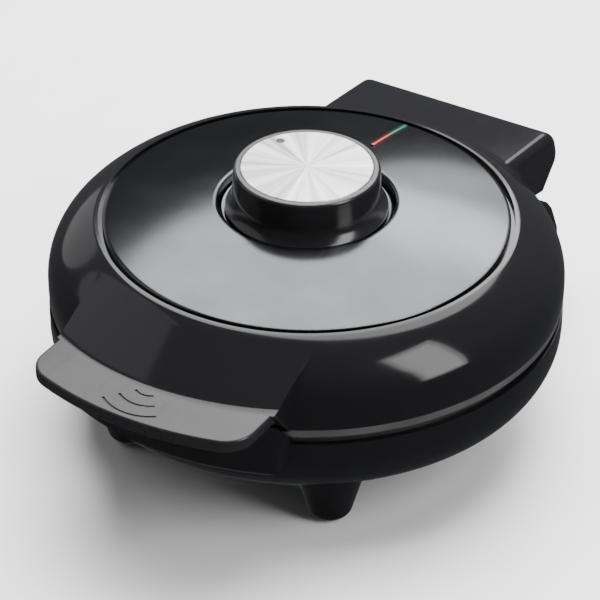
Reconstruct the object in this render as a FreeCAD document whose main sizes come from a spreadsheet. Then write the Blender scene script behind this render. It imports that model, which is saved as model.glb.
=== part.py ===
import FreeCAD, Part
import math
import os
import Sketcher

# Round seven-ring donut maker: a lid hinged at the rear on a bowl-shaped base.
# Frame: +Z up, +Y to the hinge, -Y to the handle. The origin is on the resting plane, on the body's axis.

# Driving dimensions in millimetres, or in degrees where the name ends in _angle.
DIMENSIONS = {
    # the round body
    "body_radius": 115.0,
    "wall": 2.5,
    "base_bottom": 17.5,
    "cone_angle": 38.0,
    "belly_height": 51.5,
    "belly_arc": 24.0,
    "base_rim": 60.6,
    "lid_rim": 68.1,
    "waist_height": 73.5,
    "shoulder_arc": 25.0,
    "shoulder_angle": 41.3,
    "crown_arc": 45.0,
    "crown_radius": 93.7,
    # the domed top plate and the dish that the knob stands in
    "dome_top": 111.0,
    "dome_sphere": 425.0,
    "top_plate_radius": 90.0,
    "top_plate_sheet": 1.0,
    "dish_radius": 40.0,
    "dish_floor": 105.0,
    "dish_slope": 2.4,
    "rim_groove": 2.0,
    # cooking plates: a ring of six moulds round a seventh
    "lower_plate_top": 64.2,
    "upper_plate_bottom": 64.5,
    "cooking_plate_radius": 100.0,
    "cooking_plate_sheet": 3.0,
    "mould_pitch": 63.5,
    "donut_ring": 19.0,
    "donut_tube": 10.0,
    "mould_wall": 2.2,
    "element_tube": 3.2,
    "element_gap_angle": 24.0,
    "terminal_length": 10.0,
    "reflector_radius": 97.0,
    "reflector_sheet": 0.8,
    "reflector_rim": 5.0,
    "lower_reflector_height": 40.0,
    "upper_reflector_height": 84.0,
    # rings that carry the cooking plates
    "frame_inner": 100.4,
    "frame_flange": 2.5,
    "lower_frame_outer": 111.5,
    "lower_frame_bottom": 54.0,
    "lip_radius": 114.7,
    "upper_frame_skirt": 112.2,
    "upper_frame_top": 74.0,
    # handle shelf, the cheeks beside it and the grip under it
    "shelf_reach": 147.5,
    "shelf_half_width": 53.0,
    "shelf_top": 83.5,
    "shelf_thickness": 6.0,
    "shelf_corner": 14.0,
    "shelf_edge": 1.2,
    "flare_angle": 30.0,
    "flare_foot_arc": 7.0,
    "cheek_half_width": 54.0,
    "cheek_foot": 116.0,
    "cheek_reach": 126.3,
    "cheek_tip": 82.4,
    "grip_front": 124.0,
    "grip_bottom": 49.5,
    "grip_corner": 5.0,
    "grip_ramp_top": 75.5,
    "grip_mark_centre": 123.0,
    "grip_mark_step": 7.15,
    "grip_mark_width": 1.2,
    "grip_mark_angle": 76.0,
    # hinge
    "hinge_y": 132.0,
    "hinge_z": 58.0,
    "hinge_half_width": 52.0,
    "hinge_reach": 147.5,
    "hinge_block_root": 85.0,
    "block_end": 5.0,
    "block_blend": 7.0,
    "block_foot_reach": 105.0,
    "block_foot_height": 91.0,
    "knuckle_radius": 4.5,
    "knuckle_clearance": 0.5,
    "pin_radius": 2.0,
    "pin_clearance": 0.05,
    "lid_knuckle_x": 27.5,
    "knuckle_length": 8.0,
    "knuckle_side_gap": 0.4,
    # control knob and thermostat
    "knob_skirt": 36.0,
    "knob_bottom": 105.6,
    "knob_neck": 33.0,
    "knob_rim": 32.1,
    "knob_top": 125.8,
    "knob_face_radius": 29.3,
    "knob_face_top": 126.0,
    "knob_face_sheet": 1.1,
    "index_radius": 2.0,
    "index_x": -21.1,
    "index_y": 12.2,
    "spindle_radius": 3.0,
    "spindle_bottom": 95.0,
    "spindle_top": 118.0,
    "thermostat_width": 24.0,
    "thermostat_height": 11.0,
    # indicator strip
    "lens_start": 57.0,
    "lens_length": 15.5,
    "lens_width": 3.0,
    "lamp_height": 93.8,
    "lamp_radius": 2.3,
    # feet
    "foot_x": 52.5,
    "front_foot_y": -66.0,
    "rear_foot_y": 66.0,
    "foot_bottom": 0.8,
    "foot_tip": 6.0,
    "foot_ankle": 9.8,
    "foot_ankle_height": 4.6,
    "foot_arc": 7.0,
    "foot_top_radius": 16.4,
    "foot_top": 29.0,
    "foot_screw_share": 0.93,
    "pad_radius": 4.6,
    "pad_height": 1.8,
    # cord inlet at the rear of the base
    "gland_height": 26.0,
    "gland_bore": 3.2,
    "gland_tube": 4.6,
    "gland_flange": 5.2,
    "gland_flange_sheet": 1.6,
    "gland_length": 14.0,
    # fasteners
    "screw_shank": 1.6,
    "screw_head": 3.0,
    "screw_head_height": 1.6,
    "boss_radius": 3.8,
    "boss_ring": 105.0,
}

FIT = 0.05
OVERSHOOT = 2.0
PART_STATES_THAT_FAIL = ("Invalid", "Error")

doc = FreeCAD.newDocument("DonutMaker")
sheet = doc.addObject("Spreadsheet::Sheet", "Dimensions")
for row, (alias, value) in enumerate(DIMENSIONS.items(), start=1):
    sheet.set("A%d" % row, alias)
    sheet.set("B%d" % row, str(value))
    sheet.setAlias("B%d" % row, alias)
doc.recompute()


class Size:
    """A dimension that holds its value and the sheet expression that gives it."""

    def __init__(self, value, text=None):
        self.value = float(value)
        self.text = text or "(%r)" % float(value)
        self.driven = text is not None

    def joined(self, sign, other, value):
        if not (self.driven or other.driven):
            return Size(value)
        return Size(value, "(%s %s %s)" % (self.text, sign, other.text))

    def __add__(self, other):
        other = as_size(other)
        return self.joined("+", other, self.value + other.value)

    def __radd__(self, other):
        return as_size(other) + self

    def __sub__(self, other):
        other = as_size(other)
        return self.joined("-", other, self.value - other.value)

    def __rsub__(self, other):
        return as_size(other) - self

    def __mul__(self, other):
        other = as_size(other)
        return self.joined("*", other, self.value * other.value)

    def __rmul__(self, other):
        return as_size(other) * self

    def __truediv__(self, other):
        other = as_size(other)
        return self.joined("/", other, self.value / other.value)

    def __neg__(self):
        return as_size(0.0) - self

    def root(self):
        return Size(math.sqrt(self.value), "sqrt(%s)" % self.text)

    def sine(self):
        return Size(math.sin(math.radians(self.value)), "sin(1 deg * %s)" % self.text)

    def cosine(self):
        return Size(math.cos(math.radians(self.value)), "cos(1 deg * %s)" % self.text)


def as_size(number):
    return number if isinstance(number, Size) else Size(number)


class Dimensions:
    """Reads one driving dimension of the sheet as a Size."""

    def __getattr__(self, alias):
        return Size(DIMENSIONS[alias], "Dimensions." + alias)


D = Dimensions()
NODES = []


def bind(feature, path, amount):
    amount = as_size(amount)
    if amount.driven:
        feature.setExpression(path, amount.text)


def node(feature, label):
    """Marks a finished sub-part and gives it the name of its file."""
    feature.Label = label
    NODES.append(feature)
    return feature


def arc_centre(start, end, radius):
    """Centre of the minor arc from start to end, on the left of the way there when radius is positive."""
    span_x = end[0] - start[0]
    span_y = end[1] - start[1]
    chord = math.hypot(span_x, span_y)
    rise = math.copysign(math.sqrt(max(radius * radius - chord * chord / 4, 0.0)), radius)
    middle_x = (start[0] + end[0]) / 2
    middle_y = (start[1] + end[1]) / 2
    return middle_x - span_y / chord * rise, middle_y + span_x / chord * rise


def add_edge(sketch, start, end, radius):
    """Adds a line or an arc and returns the sketch's names for its start and end points."""
    if radius is None:
        line = Part.LineSegment(FreeCAD.Vector(start[0], start[1], 0), FreeCAD.Vector(end[0], end[1], 0))
        sketch.addGeometry(line, False)
        return 1, 2
    centre = arc_centre(start, end, radius.value)
    first, last = (start, end) if radius.value > 0 else (end, start)
    first_angle = math.atan2(first[1] - centre[1], first[0] - centre[0])
    last_angle = math.atan2(last[1] - centre[1], last[0] - centre[0])
    circle = Part.Circle(FreeCAD.Vector(centre[0], centre[1], 0), FreeCAD.Vector(0, 0, 1), abs(radius.value))
    sketch.addGeometry(Part.ArcOfCircle(circle, first_angle, last_angle), False)
    return (1, 2) if radius.value > 0 else (2, 1)


def hold(sketch, kind, edge, point, amount):
    """Fixes one coordinate of a point, through the sheet where it is driven."""
    axis = -2 if kind == "DistanceX" else -1
    if amount.value == 0.0:
        sketch.addConstraint(Sketcher.Constraint("PointOnObject", edge, point, axis))
        return
    index = sketch.addConstraint(Sketcher.Constraint(kind, -1, 1, edge, point, amount.value))
    bind(sketch, "Constraints[%d]" % index, amount)


def outline(body, name, role, vertices, offset=0.0):
    """Closed outline on one of the body's planes. A vertex is (x, y) or (x, y, radius of the arc after it)."""
    sketch = body.newObject("Sketcher::SketchObject", name)
    plane = next(item for item in body.Origin.OriginFeatures if item.Role == role)
    sketch.AttachmentSupport = [(plane, "")]
    sketch.MapMode = "FlatFace"
    sketch.AttachmentOffset = FreeCAD.Placement(FreeCAD.Vector(0, 0, as_size(offset).value), FreeCAD.Rotation())
    bind(sketch, "AttachmentOffset.Base.z", offset)
    sizes = [tuple(as_size(part) for part in vertex) for vertex in vertices]
    points = [(vertex[0].value, vertex[1].value) for vertex in sizes]
    ends = []
    for index, vertex in enumerate(sizes):
        radius = vertex[2] if len(vertex) > 2 else None
        ends.append(add_edge(sketch, points[index], points[(index + 1) % len(points)], radius))
    for index, vertex in enumerate(sizes):
        following = (index + 1) % len(sizes)
        sketch.addConstraint(Sketcher.Constraint("Coincident", index, ends[index][1], following, ends[following][0]))
        hold(sketch, "DistanceX", index, ends[index][0], vertex[0])
        hold(sketch, "DistanceY", index, ends[index][0], vertex[1])
        if len(vertex) > 2:
            size = vertex[2] if vertex[2].value > 0 else -vertex[2]
            constraint = sketch.addConstraint(Sketcher.Constraint("Radius", index, size.value))
            bind(sketch, "Constraints[%d]" % constraint, size)
    return sketch


def revolved(name, profile):
    """Solid of revolution about Z. The profile's points are (radius, height)."""
    body = doc.addObject("PartDesign::Body", name)
    sketch = outline(body, name + "_profile", "XZ_Plane", profile)
    turn = body.newObject("PartDesign::Revolution", name + "_turn")
    turn.Profile = sketch
    turn.ReferenceAxis = (sketch, ["V_Axis"])
    turn.Angle = 360.0
    sketch.Visibility = False
    return body


def padded(name, role, vertices, low, high):
    """Prism between two offsets along the normal of one of the body's planes."""
    body = doc.addObject("PartDesign::Body", name)
    sketch = outline(body, name + "_outline", role, vertices, low)
    pad = body.newObject("PartDesign::Pad", name + "_pad")
    pad.Profile = sketch
    length = as_size(high) - low
    pad.Length = length.value
    bind(pad, "Length", length)
    return body


def rounded(body, name, radius, chosen):
    """Rounds the edges of the body's last feature that the test picks out."""
    doc.recompute()
    base = body.Tip
    names = ["Edge%d" % number for number, edge in enumerate(base.Shape.Edges, start=1) if chosen(edge)]
    fillet = body.newObject("PartDesign::Fillet", name)
    fillet.Base = (base, names)
    fillet.Radius = as_size(radius).value
    bind(fillet, "Radius", radius)
    return body


def put(feature, place, rotation=None):
    """Places a primitive, with each coordinate read from the sheet where it is driven."""
    sizes = [as_size(part) for part in place]
    base = FreeCAD.Vector(*(part.value for part in sizes))
    feature.Placement = FreeCAD.Placement(base, rotation or FreeCAD.Rotation())
    for axis, part in zip("xyz", sizes):
        bind(feature, "Placement.Base." + axis, part)
    return feature


TURNS = {
    "x": FreeCAD.Rotation(FreeCAD.Vector(0, 1, 0), 90),
    "y": FreeCAD.Rotation(FreeCAD.Vector(1, 0, 0), -90),
    "z": FreeCAD.Rotation(),
}


def cylinder(name, radius, length, place, axis="z"):
    feature = doc.addObject("Part::Cylinder", name)
    feature.Radius = as_size(radius).value
    feature.Height = as_size(length).value
    bind(feature, "Radius", radius)
    bind(feature, "Height", length)
    return put(feature, place, TURNS[axis])


def box(name, low, high):
    """Box between two corners."""
    feature = doc.addObject("Part::Box", name)
    for side, start, end in zip(("Length", "Width", "Height"), low, high):
        length = as_size(end) - start
        setattr(feature, side, length.value)
        bind(feature, side, length)
    return put(feature, low)


def torus(name, ring, tube, place, angle=360.0, turned=0.0):
    feature = doc.addObject("Part::Torus", name)
    feature.Radius1 = as_size(ring).value
    feature.Radius2 = as_size(tube).value
    feature.Angle3 = as_size(angle).value
    bind(feature, "Radius1", ring)
    bind(feature, "Radius2", tube)
    bind(feature, "Angle3", angle)
    return put(feature, place, FreeCAD.Rotation(FreeCAD.Vector(0, 0, 1), turned))


def fused(name, pieces):
    feature = doc.addObject("Part::MultiFuse", name)
    feature.Shapes = pieces
    return feature


def shared(name, pieces):
    feature = doc.addObject("Part::MultiCommon", name)
    feature.Shapes = pieces
    return feature


def cut(name, base, tools):
    feature = doc.addObject("Part::Cut", name)
    feature.Base = base
    feature.Tool = tools[0] if len(tools) == 1 else fused(name + "_tools", tools)
    return feature


def group(name, pieces):
    """Several separate solids that share one node."""
    feature = doc.addObject("Part::Compound", name)
    feature.Links = pieces
    return feature


def on_ring(radius, angles):
    """Places round the body's axis."""
    return [(radius * math.cos(math.radians(a)), radius * math.sin(math.radians(a))) for a in angles]


MOULD_ANGLES = [60.0 * step for step in range(6)]
PLATE_SCREW_ANGLES = [30.0, 150.0, 270.0]
HOUSING_SCREW_ANGLES = [45.0, 135.0, 225.0, 315.0]


def mould_centres():
    return [(as_size(0.0), as_size(0.0))] + on_ring(D.mould_pitch, MOULD_ANGLES)


def plate_screw_ring():
    """The screws sit midway between the centre mould and two of its neighbours."""
    return D.mould_pitch / math.sqrt(3.0)


# Outer forms ---------------------------------------------------------------------------------------------

def bowl_profile(inset, top):
    """Solid bowl under the rim, its surface moved inwards by inset."""
    arc = D.belly_arc - inset
    centre = D.body_radius - D.belly_arc
    knee_radius = centre + arc * D.cone_angle.sine()
    knee_height = D.belly_height - arc * D.cone_angle.cosine()
    bottom = D.base_bottom + inset
    flat = knee_radius - (knee_height - bottom) * D.cone_angle.cosine() / D.cone_angle.sine()
    return [(0.0, bottom), (flat, bottom), (knee_radius, knee_height, arc),
            (D.body_radius - inset, D.belly_height), (D.body_radius - inset, top), (0.0, top)]


def knee_of_shoulder(inset):
    arc = D.shoulder_arc - inset
    centre = D.body_radius - D.shoulder_arc
    return centre + arc * D.shoulder_angle.cosine(), D.waist_height + arc * D.shoulder_angle.sine()


def crown_centre():
    step = D.crown_arc - D.shoulder_arc
    return (D.body_radius - D.shoulder_arc - step * D.shoulder_angle.cosine(),
            D.waist_height - step * D.shoulder_angle.sine())


def crown_height(radius, inset):
    """Height of the crown arc at a radius."""
    centre_radius, centre_height = crown_centre()
    arc = D.crown_arc - inset
    reach = radius - centre_radius
    return centre_height + (arc * arc - reach * reach).root()


def crown_reach(height, inset):
    """Radius of the crown arc at a height."""
    centre_radius, centre_height = crown_centre()
    arc = D.crown_arc - inset
    rise = height - centre_height
    return centre_radius + (arc * arc - rise * rise).root()


def dome_height(radius, drop):
    """Height of the shallow dome, lowered by drop, at a radius."""
    sphere = D.dome_sphere
    return D.dome_top - drop - sphere + (sphere * sphere - radius * radius).root()


# Base ------------------------------------------------------------------------------------------------------

def foot_places():
    """Name and position of each foot."""
    return [("front_left", -D.foot_x, D.front_foot_y), ("front_right", D.foot_x, D.front_foot_y),
            ("rear_left", -D.foot_x, D.rear_foot_y), ("rear_right", D.foot_x, D.rear_foot_y)]


def base_hinge_section(inset):
    """Side view of the block at the rear of the base, in the (Y, Z) plane."""
    front = D.hinge_block_root
    seam = D.base_rim - inset
    reach = D.hinge_reach - inset
    bottom = D.base_bottom + 3.0 + inset
    return [(front, bottom), (reach, bottom), (reach, D.hinge_z - 27.0 - inset / 2),
            (D.hinge_y + 8.1 - inset, D.hinge_z - 12.0 - inset / 2), (D.hinge_y + 2.3 - inset, D.hinge_z - 5.5 - inset),
            (D.hinge_y - 3.0 - inset / 2, D.hinge_z - 2.0 - inset), (D.hinge_y - 5.4, D.hinge_z - 0.5 - inset),
            (D.body_radius, seam), (front, seam)]


def knuckle_pair(name, first_x, growth, side_growth):
    """The same barrel on both sides, about the hinge axis."""
    radius = D.knuckle_radius + growth
    length = D.knuckle_length + 2 * as_size(side_growth)
    pair = []
    for side, start in (("right", first_x - side_growth), ("left", -first_x - D.knuckle_length - side_growth)):
        place = (start, D.hinge_y, D.hinge_z)
        pair.append(cylinder("%s_%s" % (name, side), radius, length, place, "x"))
    return pair


def web_pair(name, first_x, section):
    """The same web on both sides, joining a barrel to its block."""
    return [padded(name + "_right", "YZ_Plane", section, first_x, first_x + D.knuckle_length),
            padded(name + "_left", "YZ_Plane", section, -first_x - D.knuckle_length, -first_x)]


def pin_holes(name):
    """Hole for the hinge pins, through every barrel."""
    reach = D.lid_knuckle_x - OVERSHOOT
    length = 2 * D.knuckle_length + 2 * OVERSHOOT
    radius = D.pin_radius + D.pin_clearance
    return [cylinder(name + "_right", radius, length, (reach, D.hinge_y, D.hinge_z), "x"),
            cylinder(name + "_left", radius, length, (-reach - length, D.hinge_y, D.hinge_z), "x")]


def base_knuckle_x():
    return D.lid_knuckle_x + D.knuckle_length + D.knuckle_side_gap


def make_grip():
    """Block under the handle, with a ramp on top that runs parallel to the cheeks of the lid."""
    root = D.body_radius - 15.0
    ring = revolved("grip_ring", [
        (root, D.grip_bottom), (D.grip_front - 2.0, D.grip_bottom), (D.grip_front, D.grip_bottom + 2.0),
        (D.grip_front, D.grip_ramp_top), (D.body_radius + 0.4, D.lower_plate_top), (root, D.lower_plate_top)])
    half = D.cheek_half_width
    corner = D.grip_corner
    low = D.grip_bottom
    high = D.grip_ramp_top + 5.0
    width = padded("grip_width", "XZ_Plane", [
        (-half, low + corner, corner), (-half + corner, low), (half - corner, low, corner), (half, low + corner),
        (half, high), (-half, high)], root, D.grip_front + 5.0)
    return shared("grip", [ring, width])


def make_lower_housing():
    outer = revolved("bowl_outside", bowl_profile(as_size(0.0), D.base_rim))
    inner = revolved("bowl_inside", bowl_profile(D.wall, D.base_rim + 20.0))
    half = D.hinge_half_width
    hinge_block = padded("base_block", "YZ_Plane", base_hinge_section(as_size(0.0)), -half, half)
    hinge_hollow = padded("base_block_hollow", "YZ_Plane", base_hinge_section(D.wall), D.wall - half, half - D.wall)
    base_x = base_knuckle_x()
    web = [(D.hinge_y - 4.4, D.hinge_z), (D.hinge_y - 3.0, D.hinge_z - 8.0), (D.hinge_y + 0.3, D.hinge_z - 8.0),
           (D.hinge_y + 2.7, D.hinge_z - 2.8)]
    lid_room = knuckle_pair("lid_knuckle_room", D.lid_knuckle_x, D.knuckle_clearance, D.knuckle_side_gap)
    body = cut("bowl_shell", fused("bowl_solid", [outer, hinge_block, make_grip()]), [inner, hinge_hollow] + lid_room)
    bosses = []
    holes = []
    for index, (x, y) in enumerate(on_ring(D.boss_ring, HOUSING_SCREW_ANGLES)):
        top = D.lower_plate_top - D.frame_flange
        bosses.append(cylinder("base_boss_%d" % index, D.boss_radius, top - 20.0, (x, y, 20.0)))
        holes.append(cylinder("base_boss_hole_%d" % index, D.screw_shank + FIT, 60.0, (x, y, 10.0)))
        holes.append(cylinder("base_boss_well_%d" % index, D.screw_head + 0.2, 36.0, (x, y, 10.0)))
    for index, (x, y) in enumerate(on_ring(plate_screw_ring(), PLATE_SCREW_ANGLES)):
        height = D.lower_reflector_height - D.base_bottom
        bosses.append(cylinder("plate_boss_%d" % index, D.boss_radius, height, (x, y, D.base_bottom)))
        holes.append(cylinder("plate_boss_hole_%d" % index, D.screw_shank + FIT, 20.0, (x, y, D.base_bottom + 6.0)))
    for name, x, y in foot_places():
        share = D.foot_screw_share
        place = (share * x, share * y, D.base_bottom - 4.0)
        holes.append(cylinder(name + "_foot_hole", D.screw_shank + FIT, 10.0, place))
    gland_start = D.hinge_reach - D.gland_length
    holes.append(cylinder("gland_hole", D.gland_tube + FIT, D.gland_length + 1.0, (0, gland_start, D.gland_height), "y"))
    holes.append(cylinder("gland_seat", D.gland_flange + FIT, D.gland_flange_sheet + 1.0,
                          (0, D.hinge_reach - D.gland_flange_sheet, D.gland_height), "y"))
    inside = shared("base_bosses", [fused("base_boss_set", bosses), revolved("boss_room", boss_room_profile())])
    knuckles = knuckle_pair("base_knuckle", base_x, 0.0, 0.0)
    whole = fused("base_with_bosses", [body, inside] + knuckles + web_pair("base_web", base_x, web))
    return node(cut("lower_housing_shape", whole, holes + pin_holes("base_pin_hole")), "lower_housing")


def boss_room_profile():
    """Space up to the plate frame in which the base's bosses stand."""
    return bowl_profile(as_size(0.5), D.lower_plate_top - D.frame_flange)


def make_foot(name, x, y, bowl):
    """Rounded cone whose top follows the bowl, with a well for its rubber pad."""
    leg = revolved(name + "_cone", [
        (0.0, D.foot_bottom), (D.foot_tip, D.foot_bottom, D.foot_arc), (D.foot_ankle, D.foot_ankle_height),
        (D.foot_top_radius, D.foot_top), (0.0, D.foot_top)])
    put(leg, (x, y, 0.0))
    well = cylinder(name + "_pad_well", D.pad_radius + FIT, D.pad_height, (x, y, 0.0))
    share = D.foot_screw_share
    hole = cylinder(name + "_screw_hole", D.screw_shank + FIT, D.base_bottom, (share * x, share * y, 9.0))
    node(cut(name + "_foot_shape", leg, [bowl, well, hole]), name + "_foot")
    node(cylinder(name + "_pad_shape", D.pad_radius, D.pad_height, (x, y, 0.0)), name + "_foot_pad")


def screw(name, x, y, low, high, head_down):
    """Shank with a round head, along Z."""
    shank = cylinder(name + "_shank", D.screw_shank, as_size(high) - low, (x, y, low))
    head_start = low if head_down else as_size(high) - D.screw_head_height
    head = cylinder(name + "_head", D.screw_head, D.screw_head_height, (x, y, head_start))
    return fused(name, [shank, head])


def screw_group(label, places, low, high, head_down):
    screws = [screw("%s_%d" % (label, index), x, y, low, high, head_down) for index, (x, y) in enumerate(places)]
    return node(group(label + "_set", screws), label)


def make_feet():
    for name, x, y in foot_places():
        bowl = revolved(name + "_bowl", bowl_profile(as_size(0.0), D.base_rim))
        make_foot(name, x, y, bowl)
    floor = D.base_bottom + D.wall
    places = [(D.foot_screw_share * x, D.foot_screw_share * y) for name, x, y in foot_places()]
    screw_group("foot_screws", places, 10.0, floor + D.screw_head_height, False)


def frame_holes(name, low, high):
    return [cylinder("%s_%d" % (name, index), D.screw_shank + FIT, as_size(high) - low, (x, y, low))
            for index, (x, y) in enumerate(on_ring(D.boss_ring, HOUSING_SCREW_ANGLES))]


def make_lower_frame():
    top = D.lower_plate_top
    under = top - D.frame_flange
    outer = D.lower_frame_outer
    ring = revolved("lower_frame_ring", [
        (D.frame_inner, under), (outer - 2.5, under), (outer - 2.5, D.lower_frame_bottom),
        (outer, D.lower_frame_bottom), (outer, top), (D.frame_inner, top)])
    holes = frame_holes("lower_frame_hole", under - 1.0, top - 1.0)
    return node(cut("lower_frame_shape", ring, holes), "lower_plate_frame")


def make_cooking_plate(label, face, side):
    """Cast plate with seven ring-shaped troughs. side is -1 where the troughs hang below the face."""
    low, high = sorted((face, face + side * D.cooking_plate_sheet), key=lambda size: size.value)
    disc = cylinder(label + "_disc", D.cooking_plate_radius, high - low, (0, 0, low))
    walls = []
    troughs = []
    for index, (x, y) in enumerate(mould_centres()):
        walls.append(torus("%s_wall_%d" % (label, index), D.donut_ring, D.donut_tube + D.mould_wall, (x, y, face)))
        troughs.append(torus("%s_trough_%d" % (label, index), D.donut_ring, D.donut_tube, (x, y, face)))
    room = D.cooking_plate_radius + 5.0
    depth = D.donut_tube + D.mould_wall + OVERSHOOT
    start = face if side < 0 else face - depth
    troughs.append(cylinder(label + "_beyond_face", room, depth, (0, 0, start)))
    for index, (x, y) in enumerate(on_ring(plate_screw_ring(), PLATE_SCREW_ANGLES)):
        well_start = face - OVERSHOOT
        hole_start = face - 2 * D.cooking_plate_sheet
        troughs.append(cylinder("%s_well_%d" % (label, index), D.screw_head + 0.2, 2 * OVERSHOOT, (x, y, well_start)))
        troughs.append(cylinder("%s_hole_%d" % (label, index), D.screw_shank + FIT, 4 * D.cooking_plate_sheet,
                                (x, y, hole_start)))
    return node(cut(label + "_shape", fused(label + "_solid", [disc] + walls), troughs), label)


def make_element(label, height, side):
    """Tubular heating ring with its two cold ends turned away from the plate."""
    turned = 90.0 + DIMENSIONS["element_gap_angle"] / 2
    sweep = 360.0 - D.element_gap_angle
    pieces = [torus(label + "_ring", D.mould_pitch, D.element_tube, (0, 0, height), sweep, turned)]
    start = height if side > 0 else height - D.terminal_length
    for index, (x, y) in enumerate(on_ring(D.mould_pitch, [turned, 180.0 - turned])):
        pieces.append(cylinder("%s_end_%d" % (label, index), D.element_tube, D.terminal_length, (x, y, start)))
    return node(fused(label + "_shape", pieces), label)


def make_reflector(label, height, side):
    """Thin tray that throws the heat back to the plate. side is the way its rim is turned."""
    low = height
    high = height + D.reflector_sheet
    outer = D.reflector_radius
    inner = outer - D.reflector_sheet
    if side > 0:
        tip = high + D.reflector_rim
        profile = [(0.0, low), (outer, low), (outer, tip), (inner, tip), (inner, high), (0.0, high)]
    else:
        tip = low - D.reflector_rim
        profile = [(0.0, low), (inner, low), (inner, tip), (outer, tip), (outer, high), (0.0, high)]
    tray = revolved(label + "_tray", profile)
    holes = [cylinder("%s_hole_%d" % (label, index), D.screw_shank + FIT, 10.0, (x, y, low - 5.0))
             for index, (x, y) in enumerate(on_ring(plate_screw_ring(), PLATE_SCREW_ANGLES))]
    turned = 90.0 + DIMENSIONS["element_gap_angle"] / 2
    for index, (x, y) in enumerate(on_ring(D.mould_pitch, [turned, 180.0 - turned])):
        holes.append(cylinder("%s_end_hole_%d" % (label, index), D.element_tube + 0.8, 10.0, (x, y, low - 5.0)))
    return node(cut(label + "_shape", tray, holes), label)


def make_gland():
    """Bush that the mains cord passes through at the rear of the base."""
    start = D.hinge_reach - D.gland_length
    tube = cylinder("gland_tube", D.gland_tube, D.gland_length, (0, start, D.gland_height), "y")
    flange = cylinder("gland_flange", D.gland_flange, D.gland_flange_sheet,
                      (0, D.hinge_reach - D.gland_flange_sheet, D.gland_height), "y")
    bore = cylinder("gland_bore", D.gland_bore, D.gland_length + 2 * OVERSHOOT,
                    (0, start - OVERSHOOT, D.gland_height), "y")
    return node(cut("gland_shape", fused("gland_solid", [tube, flange]), [bore]), "cord_gland")


def make_terminal_block():
    floor = D.base_bottom + D.wall
    block = box("terminal_body", (-16.0, 52.0, floor), (16.0, 66.0, floor + 13.0))
    holes = [cylinder("terminal_hole_%d" % index, 2.2, 20.0, (x, 49.0, floor + 8.0), "y")
             for index, x in enumerate((-10.0, 0.0, 10.0))]
    return node(cut("terminal_shape", block, holes), "terminal_block")


def make_hinge_pins():
    for side, start in (("right", D.lid_knuckle_x), ("left", -base_knuckle_x() - D.knuckle_length)):
        length = base_knuckle_x() + D.knuckle_length - D.lid_knuckle_x
        pin = cylinder(side + "_pin_shape", D.pin_radius, length, (start, D.hinge_y, D.hinge_z), "x")
        node(pin, side + "_hinge_pin")


# Lid -------------------------------------------------------------------------------------------------------

def upper_housing_profile():
    """Shell from the rim over the shoulder to the groove, then the deck under the top plate."""
    knee = knee_of_shoulder(as_size(0.0))
    inner_knee = knee_of_shoulder(D.wall)
    ledge = dome_height(D.top_plate_radius, 0.0) - 2.4
    ceiling = ledge - D.wall
    ledge_inner = D.top_plate_radius - 1.6
    groove = D.top_plate_radius + D.rim_groove
    deck = D.dish_floor - D.top_plate_sheet - 0.3
    dish = D.dish_radius + 1.2
    thick = 2.4
    sphere = D.dome_sphere
    return [
        (D.body_radius, D.lid_rim), (D.body_radius, D.waist_height, D.shoulder_arc),
        (knee[0], knee[1], D.crown_arc), (D.crown_radius, crown_height(D.crown_radius, 0.0)),
        (groove, crown_height(D.crown_radius, 0.0) + 0.1), (groove, ledge), (ledge_inner, ledge),
        (ledge_inner, dome_height(ledge_inner, 1.2), sphere), (dish, dome_height(dish, 1.2)),
        (dish - D.dish_slope, deck), (D.spindle_radius + 2.0, deck), (D.spindle_radius + 2.0, deck - thick),
        (dish - D.dish_slope + 1.6, deck - thick), (dish + 1.6, dome_height(dish + 1.6, 1.2) - thick, -sphere),
        (ledge_inner - 5.0, dome_height(ledge_inner - 5.0, 1.2) - thick), (ledge_inner - 3.0, ceiling),
        (crown_reach(ceiling, D.wall), ceiling, D.wall - D.crown_arc),
        (inner_knee[0], inner_knee[1], D.wall - D.shoulder_arc),
        (D.body_radius - D.wall, D.waist_height), (D.body_radius - D.wall, D.lid_rim)]


def lid_hinge_section(inset):
    """Side view of the block at the rear of the lid, in the (Y, Z) plane."""
    front = D.hinge_block_root
    return [(front, 93.7 - inset), (D.hinge_y + 3.0, 88.4 - inset, inset - 9.5),
            (D.hinge_y + 11.07 - inset, 81.8 - inset / 3), (D.hinge_y + 12.4 - inset, 77.8, inset - 9.0),
            (D.hinge_y + 10.4 - inset, 68.94), (D.hinge_y + 1.9 - inset / 2, D.hinge_z + 2.4 + inset / 3),
            (D.hinge_y - 1.0, D.hinge_z + 3.0 - inset), (D.body_radius + 7.5, D.hinge_z + 4.8 - inset),
            (D.body_radius, D.upper_plate_bottom - inset), (D.body_radius - 1.0, D.upper_plate_bottom + 3.6 - inset),
            (front, D.lid_rim)]


def is_end_edge(edge, floor):
    """True for the outline of a block's end face above a height, away from the body."""
    bounds = edge.BoundBox
    return bounds.XLength < 0.01 and bounds.YMax > DIMENSIONS["body_radius"] and bounds.ZMin > floor


def make_lid_block():
    """Hinge block with rounded ends, still solid."""
    half = D.hinge_half_width
    block = padded("lid_block", "YZ_Plane", lid_hinge_section(as_size(0.0)), -half, half)
    return rounded(block, "lid_block_ends", D.block_end, lambda edge: is_end_edge(edge, DIMENSIONS["lid_rim"]))


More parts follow.
